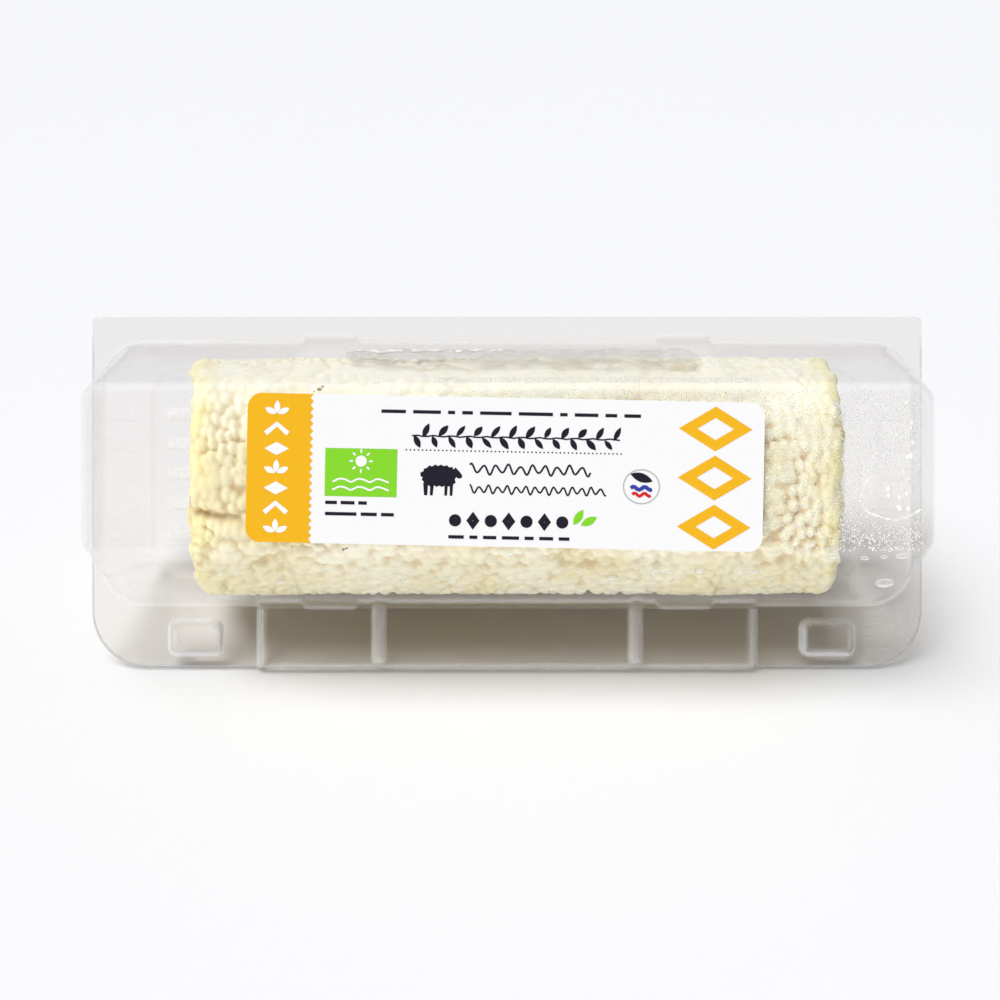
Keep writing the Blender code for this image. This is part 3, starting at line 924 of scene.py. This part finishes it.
def printDark(mesh):
    draw = random.Random(5)
    addWords(mesh, -23.4, 11.0, 0.62, (4.6, 5.2, 1.3, 2.0, 5.9, 6.4, 1.4, 4.4, 2.2, 3.1), 1.35)
    for index in range(24):
        x = -16.6 + 1.63 * index
        side = 1 if index % 2 else -1
        addLeaf(mesh, x, 6.5 + side * 1.05, draw.uniform(2.3, 2.9), draw.uniform(0.95, 1.25),
                side * draw.uniform(0.8, 1.2))
    addRibbon(mesh, [(-17.6 + index, 6.5 + 0.12 * math.sin(index * 1.9)) for index in range(40)],
              0.28)
    for index in range(54):
        addDisc(mesh, -18.6 + 0.76 * index, 3.85, 0.16, sides=8)
    addShape(mesh, [(x - 12.2, y - 1.4) for x, y in printing["sheep"]])
    addWave(mesh, -6.6, 16.0, 0.5, 1.05, 2.3, 0.36)
    addWave(mesh, -6.6, 19.0, -3.3, 0.85, 1.75, 0.32)
    addWords(mesh, -33.6, -6.3, 0.62, (2.2, 2.6, 1.6), 0.7)
    addWords(mesh, -33.6, -8.4, 0.62, (5.9, 3.0, 2.4), 0.8)
    for index in range(7):
        x = -9.2 + 3.35 * index
        if index % 2:
            addFrame(mesh, x, -9.2, 1.25, 1.7, 0.05, 4)
        else:
            addDisc(mesh, x, -9.2, 1.15)
    addWords(mesh, -10.4, -12.3, 0.62, (2.9, 1.5, 2.5, 3.2, 1.7, 2.6, 2.0), 1.05)
    addLeaf(mesh, 25.6, -0.5, 4.4, 1.7, math.radians(-18))


def printGrey(mesh):
    addFrame(mesh, 25.6, -2.2, 3.5, 3.3, 0.93, 30)


def printBlue(mesh):
    addRibbon(mesh, [(23.6 + 0.4 * step, -2.5 + 0.3 * math.sin(step * 1.2))
                     for step in range(11)], 0.75)


def printRed(mesh):
    addRibbon(mesh, [(23.9 + 0.35 * step, -3.7 + 0.3 * math.sin(step * 1.2))
                     for step in range(11)], 0.6)


printing = {
    "bandEdge": -36.1, "teeth": 20, "toothDepth": 0.62, "diamonds": (8.9, -0.3, -9.5),
    "lift": 0.00002, "paper": (0.765, 0.765, 0.775),
    "sheep": ((-2.9, -3.2), (-2.3, -3.2), (-2.2, -1.3), (-1.8, -1.5), (-1.8, -3.2), (-1.3, -3.2),
              (-1.1, -1.3), (-0.6, -1.6), (-0.1, -1.35), (0.4, -1.6), (0.9, -1.35), (0.9, -3.2),
              (1.4, -3.2), (1.5, -1.4), (1.9, -1.5), (1.9, -3.2), (2.4, -3.2), (2.5, -1.1),
              (3.0, -0.7), (2.8, -0.1), (3.1, 0.3), (3.5, 0.0), (4.1, 0.2), (4.2, 0.6),
              (3.7, 1.3), (3.3, 1.7), (2.9, 2.1), (2.5, 1.7), (2.3, 2.2), (1.7, 2.1), (1.3, 2.5),
              (0.7, 2.3), (0.2, 2.6), (-0.4, 2.3), (-0.9, 2.6), (-1.5, 2.2), (-2.0, 2.4),
              (-2.5, 1.9), (-3.0, 1.8), (-3.1, 1.3), (-3.7, 1.0), (-3.6, 0.3), (-3.2, 0.2),
              (-3.4, -0.3), (-3.0, -0.7), (-3.1, -1.1)),
    "inks": (("label_orange", printOrange, (0.76, 0.405, 0.016), 1),
             ("label_green", printGreen, (0.205, 0.58, 0.028), 1),
             ("label_dark", printDark, (0.016, 0.015, 0.024), 1),
             ("label_grey", printGrey, (0.42, 0.42, 0.44), 1),
             ("label_blue", printBlue, (0.035, 0.05, 0.32), 1),
             ("label_red", printRed, (0.58, 0.02, 0.022), 1),
             ("label_white_marks", printWhite, (0.80, 0.80, 0.805), 2)),
}


def buildLabel():
    mesh = bmesh.new()
    addShape(mesh, roundedPoints(label["halfLength"] * 1000, label["halfHeight"] * 1000,
                                 label["radius"] * 1000))
    piece = pressPrint("label_sheet", mesh, inkMaterial("label_white", printing["paper"], 0.985),
                       label["low"], label["paper"])
    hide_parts("label")
    for name, draw, colour, layer in printing["inks"]:
        mesh = bmesh.new()
        draw(mesh)
        low = label["low"] + label["paper"] + printing["lift"] * (2 * layer - 1)
        pressPrint(name, mesh, inkMaterial(name + "_ink", colour, 0.94), low, label["print"])


# Mist, drops, whey and a painted shade band on the lid's inner side

wet = {
    "seed": 11, "mistPitch": 0.00041, "mistRadius": 0.000125, "flat": 0.5,
    "stripPitch": 0.00036, "clearPatch": (0.0728, 0.0008, 0.0066, 0.0052),
    "slopeDrops": ((0.0104, 0.0156, 0.0007), (0.0137, 0.0156, 0.0005), (0.0286, 0.0155, 0.0007),
                   (0.0319, 0.0155, 0.0006), (0.0374, 0.0156, 0.0009), (0.0484, 0.0155, 0.0007),
                   (0.0205, 0.0123, 0.0009), (0.0617, 0.0222, 0.0009), (0.0713, 0.0218, 0.0007),
                   (0.0678, 0.0213, 0.0007), (0.0750, 0.0100, 0.0015), (0.0746, 0.0222, 0.0009),
                   (0.0000, 0.0221, 0.0006), (-0.0450, 0.0105, 0.0006), (-0.0560, 0.0140, 0.0005)),
    "wheyBlobs": ((-0.0290, 0.0046, 0.0010), (-0.0262, 0.0050, 0.0012), (-0.0228, 0.0044, 0.0011),
                  (-0.0187, 0.0047, 0.0013), (-0.0146, 0.0043, 0.0012), (-0.0108, 0.0048, 0.0010),
                  (-0.0062, 0.0042, 0.0009), (-0.0018, 0.0047, 0.0008)),
    "specks": ((-0.0354, 0.0208, 0.00032), (-0.0348, 0.0213, 0.00020), (-0.0364, 0.0204, 0.00015),
               (-0.0309, -0.0093, 0.00030), (-0.0303, -0.0091, 0.00022), (0.0410, 0.0201, 0.00013)),
    "wipeLine": ((0.0676, 0.0039), (0.0661, 0.0000), (0.0676, -0.0023), (0.0707, -0.0034),
                 (0.0727, -0.0038), (0.0755, -0.0031), (0.0778, -0.0017)),
}


def faceSpot(x, y):
    return (Vector((x, y, pack["lidDepth"] - pack["sheet"])), Vector((1.0, 0.0, 0.0)),
            Vector((0.0, 1.0, 0.0)))


def slopeSpot(x, z, high):
    share = z / pack["lidDepth"]
    section = between(pack["mouth"], pack["lidFace"], share)
    run = pack["lidFace"].yHigh - pack["mouth"].yHigh if high else (pack["lidFace"].yLow
                                                                    - pack["mouth"].yLow)
    along = Vector((0.0, run, pack["lidDepth"])).normalized()
    inward = Vector((0.0, -along.z, along.y) if high else (0.0, along.z, -along.y))
    y = section.yHigh if high else section.yLow
    return Vector((x, y, z)) + inward * pack["sheet"], Vector((1.0, 0.0, 0.0)), along


def dropShape(detail):
    shape = bmesh.new()
    bmesh.ops.create_icosphere(shape, subdivisions=detail, radius=1.0)
    shape.verts.ensure_lookup_table()
    points = [vert.co.copy() for vert in shape.verts]
    faces = [tuple(vert.index for vert in face.verts) for face in shape.faces]
    shape.free()
    return points, faces


def addDrop(mesh, shape, spot, radius, stretch=1.0, flat=None):
    centre, along, across = spot
    normal = along.cross(across)
    height = radius * (flat or wet["flat"])
    verts = [mesh.verts.new(centre + along * (point.x * radius * stretch)
                            + across * (point.y * radius) + normal * (point.z * height))
             for point in shape[0]]
    for face in shape[1]:
        mesh.faces.new([verts[index] for index in face])


def buildMist(draw):
    shape = dropShape(1)
    mesh = bmesh.new()
    columns, rows = int(0.0940 / wet["mistPitch"]), int(0.0306 / wet["mistPitch"])
    middleX, middleY, halfX, halfY = wet["clearPatch"]
    for column in range(columns):
        for row in range(rows):
            x = -0.0155 + (column + draw.uniform(0.1, 0.9)) * wet["mistPitch"]
            y = -0.0096 + (row + draw.uniform(0.1, 0.9)) * wet["mistPitch"]
            chance, size = draw.random(), draw.uniform(0.65, 1.3)
            onLabel = labelToPack.inverted() @ Vector((x, y, 0.0))
            if (abs(onLabel.x) < label["halfLength"] - 0.0004
                    and abs(onLabel.y) < label["halfHeight"] - 0.0004):
                continue
            patch = smooth(0.85, 1.1, math.hypot((x - middleX) / halfX, (y - middleY) / halfY))
            thick = smooth(-0.0155, 0.0060, x) if y > 0.0185 else smooth(0.0440, 0.0500, x)
            thick *= (1 - smooth(0.0770, 0.0786, x)) * mix(0.08, 1.0, patch)
            clumps = 0.75 + 0.5 * noise.noise(Vector((x * 260, y * 260, 3.0)))
            if chance < thick * clumps:
                low = 1 + 0.75 * (1 - smooth(-0.0085, -0.0010, y)) * smooth(0.0600, 0.0660, x)
                addDrop(mesh, shape, faceSpot(x, y), wet["mistRadius"] * size * low)
    for column in range(int(0.0620 / wet["stripPitch"])):
        for row in range(int(0.0032 / wet["stripPitch"])):
            x = -0.0140 + (column + draw.uniform(0.1, 0.9)) * wet["stripPitch"]
            z = 0.0193 + (row + draw.uniform(0.1, 0.9)) * wet["stripPitch"]
            if draw.random() < 0.85:
                addDrop(mesh, shape, slopeSpot(x, z, True),
                        wet["mistRadius"] * draw.uniform(0.7, 1.2))
    print("mist drops", len(mesh.faces) // 20)
    return finishPiece("mist_drops", mesh, "lid", wetMaterial("mist_look", wetLooks["mist"]))


def buildDrops(draw):
    shape = dropShape(2)
    mesh = bmesh.new()
    for x, z, radius in wet["slopeDrops"]:
        addDrop(mesh, shape, slopeSpot(x, z, False), radius, draw.uniform(1.0, 1.5))
    for index in range(26):
        addDrop(mesh, shape, faceSpot(draw.uniform(0.0640, 0.0775), draw.uniform(-0.0090, 0.0200)),
                draw.uniform(0.0002, 0.0005), draw.uniform(0.8, 1.4))
    for index in range(12):
        addDrop(mesh, shape, slopeSpot(draw.uniform(-0.0700, 0.0740), draw.uniform(0.0050, 0.0210),
                                       index % 3 == 0),
                draw.uniform(0.0002, 0.0005), draw.uniform(1.0, 1.6))
    return finishPiece("large_drops", mesh, "lid", wetMaterial("drop_look", wetLooks["drop"]))


def slopeFilm(name, look, xLow, xHigh, zLow, zHigh, ripple):
    columns, rows = 150, 12

    def place(column, row):
        x = mix(xLow, xHigh, column / columns)
        ends = smooth(0.0, 0.04, column / columns) * (1 - smooth(0.96, 1.0, column / columns))
        low = zLow + ripple * noise.noise(Vector((x * 160, 1.0, 2.0)))
        high = zHigh + ripple * noise.noise(Vector((x * 110, 5.0, 2.0)))
        z = mix((low + high) / 2, mix(low, high, row / rows), mix(0.5, 1.0, ends))
        centre, along, across = slopeSpot(x, z, True)
        return centre + across.cross(along) * 0.00006

    mesh = makeGrid(columns, rows, place)
    bmesh.ops.recalc_face_normals(mesh, faces=mesh.faces)
    shadeFilm = finishPiece(name, mesh, "lid", wetMaterial(name + "_look", look))
    shadeFilm.modifiers.new("shadeFilm", "SOLIDIFY").thickness = 0.00003


def buildWheyAndShadeBand(draw):
    # A grey-beige band on the hinge-side slope above the log: painted shade for the shade seen there through the
    # sheet.
    slopeFilm("painted_shade_band", wetLooks["shadeFilm"], -0.0325, 0.0385, 0.0040, 0.0117, 0.0011)
    shape = dropShape(2)
    mesh = bmesh.new()
    for x, z, radius in wet["wheyBlobs"]:
        for index in range(4):
            addDrop(mesh, shape, slopeSpot(x + draw.uniform(-0.0012, 0.0012),
                                           z + draw.uniform(-0.0004, 0.0005), True),
                    radius * draw.uniform(0.35, 0.8), draw.uniform(1.1, 1.9), 0.3)
    line = [Vector((x, y, 0.0)) for x, y in wet["wipeLine"]]
    for first, second in zip(line, line[1:]):
        for step in range(8):
            place = first.lerp(second, step / 8)
            addDrop(mesh, shape, faceSpot(place.x, place.y), 0.00017, 2.2, 0.35)
    for index in range(20):
        addDrop(mesh, shape, faceSpot(draw.gauss(0.0738, 0.0016), draw.uniform(-0.0030, 0.0190)),
                draw.uniform(0.0003, 0.0007), draw.uniform(0.5, 0.9), 0.3)
    return finishPiece("whey_blobs", mesh, "lid", wetMaterial("whey_look", wetLooks["whey"]))


def wetMaterial(name, look):
    material, tree, output = newMaterial(name)
    cloud = addNode(tree, "ShaderNodeTexNoise", {"Vector": objectPoint(tree),
                                                 "Scale": look["scale"], "Detail": 1.0})
    share = rangeOf(tree, cloud.outputs[0], 0.35, 0.65, 0.0, 1.0)
    darker = tuple(channel * look["dim"] for channel in look["colour"])
    shade = mixColour(tree, share, (*darker, 1.0), (*look["colour"], 1.0))
    body = addNode(tree, "ShaderNodeBsdfDiffuse", {"Color": shade})
    through = addNode(tree, "ShaderNodeBsdfTransparent", {"Color": (0.98, 0.98, 0.98, 1.0)})
    rimGlint = addNode(tree, "ShaderNodeBsdfPrincipled", {"Base Color": (0.98, 0.98, 0.98, 1.0),
                                                        "Roughness": 0.1})
    cover = math2(tree, "MULTIPLY_ADD", share, look["patchy"])
    cover.node.inputs[2].default_value = look["cover"]
    part = addNode(tree, "ShaderNodeMixShader", {0: cover, 1: through.outputs[0],
                                                 2: body.outputs[0]})
    # Painted highlight: a white surface mixed in towards grazing views brightens each drop's rim.
    facing = addNode(tree, "ShaderNodeLayerWeight", {"Blend": 0.5}).outputs["Facing"]
    rim = math2(tree, "MULTIPLY", math2(tree, "POWER", facing, 2.0), look["rim"])
    mixed = addNode(tree, "ShaderNodeMixShader", {0: rim, 1: part.outputs[0],
                                                  2: rimGlint.outputs[0]})
    tree.links.new(mixed.outputs[0], output.inputs["Surface"])
    return material


wetLooks = {
    "mist": {"colour": (0.98, 0.98, 0.98), "dim": 0.70, "cover": 0.42, "patchy": 0.38,
             "rim": 0.15, "scale": 2600.0},
    "drop": {"colour": (0.92, 0.92, 0.92), "dim": 0.9, "cover": 0.08, "patchy": 0.05,
             "rim": 1.7, "scale": 900.0},
    "whey": {"colour": (0.97, 0.96, 0.93), "dim": 0.9, "cover": 0.60, "patchy": 0.25,
             "rim": 0.50, "scale": 900.0},
    # Look of the painted shade band.
    "shadeFilm": {"colour": (0.60, 0.56, 0.50), "dim": 0.85, "cover": 0.05, "patchy": 0.24,
             "rim": 0.0, "scale": 190.0},
}


def buildSpecks(draw):
    shape = dropShape(2)
    mesh = bmesh.new()
    for x, y, radius in wet["specks"]:
        centre, along, across = faceSpot(x, y)
        addDrop(mesh, shape, (centre - Vector((0.0, 0.0, 0.00006)), along, across), radius,
                draw.uniform(0.7, 1.6), 0.2)
    look = {"colour": (0.36, 0.20, 0.07), "dim": 0.6, "cover": 0.42, "patchy": 0.3, "rim": 0.0,
            "scale": 2500.0}
    finishPiece("brown_specks", mesh, "lid", wetMaterial("speck_look", look))


def buildWet():
    draw = random.Random(wet["seed"])
    buildMist(draw)
    buildDrops(draw)
    buildWheyAndShadeBand(draw)
    buildSpecks(draw)


# Camera, floor and light

stageSettings = {
    "cameraPlace": (-0.00145, 0.0, 0.260), "lens": 45.3,
    "wallColour": (0.90, 0.90, 0.91, 1.0), "frontSky": (0.030, 0.013, 0.005, 1.0), "backSky": (0.45, 0.45, 0.457, 1.0),
    "floorColour": (0.765, 0.775, 0.795),
    "lamps": {"overhead": {"travel": (0.32, 0.11, -0.94), "strength": 3.33, "angle": 36},
              "front_fill": {"travel": (0.25, 0.95, 0.12), "strength": 1.72, "angle": 40}},
}


def buildLamp(name, settings):
    data = bpy.data.lights.new(name, "SUN")
    data.angle = math.radians(settings["angle"])
    data.energy = settings["strength"]
    lamp = bpy.data.objects.new(name, data)
    lamp.rotation_euler = Vector(settings["travel"]).to_track_quat("-Z", "Y").to_euler()
    lamp.visible_glossy = False
    bpy.context.scene.collection.objects.link(lamp)
    return lamp


def buildStage():
    scene = bpy.context.scene
    cameraData = bpy.data.cameras.new("camera")
    cameraData.lens = stageSettings["lens"]
    cameraData.sensor_width = 36.0
    cameraData.clip_start = 0.01
    camera = bpy.data.objects.new("camera", cameraData)
    camera.location = packToWorld @ Vector(stageSettings["cameraPlace"])
    camera.rotation_euler = (tilt, 0.0, 0.0)
    scene.collection.objects.link(camera)
    scene.camera = camera

    world = bpy.data.worlds.new("world")
    scene.world = world
    world.use_nodes = True
    sky = world.node_tree
    direction = addNode(sky, "ShaderNodeTexCoord").outputs["Generated"]
    backwards = addNode(sky, "ShaderNodeVectorMath", {0: direction, 1: (0.0, 0.95, -0.30)},
                        operation="DOT_PRODUCT").outputs["Value"]
    backShare = rangeOf(sky, backwards, -0.7, 0.1, 0.0, 1.0)
    colour = mixColour(sky, backShare, stageSettings["frontSky"], stageSettings["backSky"])
    seen = addNode(sky, "ShaderNodeLightPath").outputs["Is Camera Ray"]
    colour = mixColour(sky, seen, colour, stageSettings["wallColour"])
    sky.links.new(colour, sky.nodes["Background"].inputs["Color"])
    scene.view_settings.view_transform = "Standard"
    scene.cycles.transparent_max_bounces = 36
    scene.cycles.max_bounces = 7

    mesh = bmesh.new()
    bmesh.ops.create_grid(mesh, x_segments=1, y_segments=1, size=6.0)
    data = bpy.data.meshes.new("floor")
    mesh.to_mesh(data)
    mesh.free()
    floor = bpy.data.objects.new("floor", data)
    scene.collection.objects.link(floor)
    material, tree, output = newMaterial("floor_paint")
    cloud = addNode(tree, "ShaderNodeTexNoise", {"Vector": objectPoint(tree), "Scale": 3.0,
                                                 "Detail": 2.0}).outputs[0]
    base = stageSettings["floorColour"]
    shade = mixColour(tree, cloud, (*(channel * 0.99 for channel in base), 1.0), (*base, 1.0))
    shader = addNode(tree, "ShaderNodeBsdfPrincipled", {"Base Color": shade, "Roughness": 0.7,
                                                        "Specular IOR Level": 0.2})
    tree.links.new(shader.outputs[0], output.inputs["Surface"])
    data.materials.append(material)
    floor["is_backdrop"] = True

    # The overhead lamp stands a little behind the pack, so the log shades the floor under it.
    # The fill lights the pack alone.
    buildLamp("overhead", stageSettings["lamps"]["overhead"])
    fill = buildLamp("front_fill", stageSettings["lamps"]["front_fill"])
    filled = bpy.data.collections.new("filled")
    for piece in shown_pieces():
        filled.objects.link(piece)
    fill.light_linking.receiver_collection = filled
    fill.light_linking.blocker_collection = filled


buildTray()
print("tray done")
buildCheese()
print("cheese done")
buildLid()
print("lid done")
buildLabel()
print("label done")
buildWet()
print("drops done")
buildStage()
print("stage done")
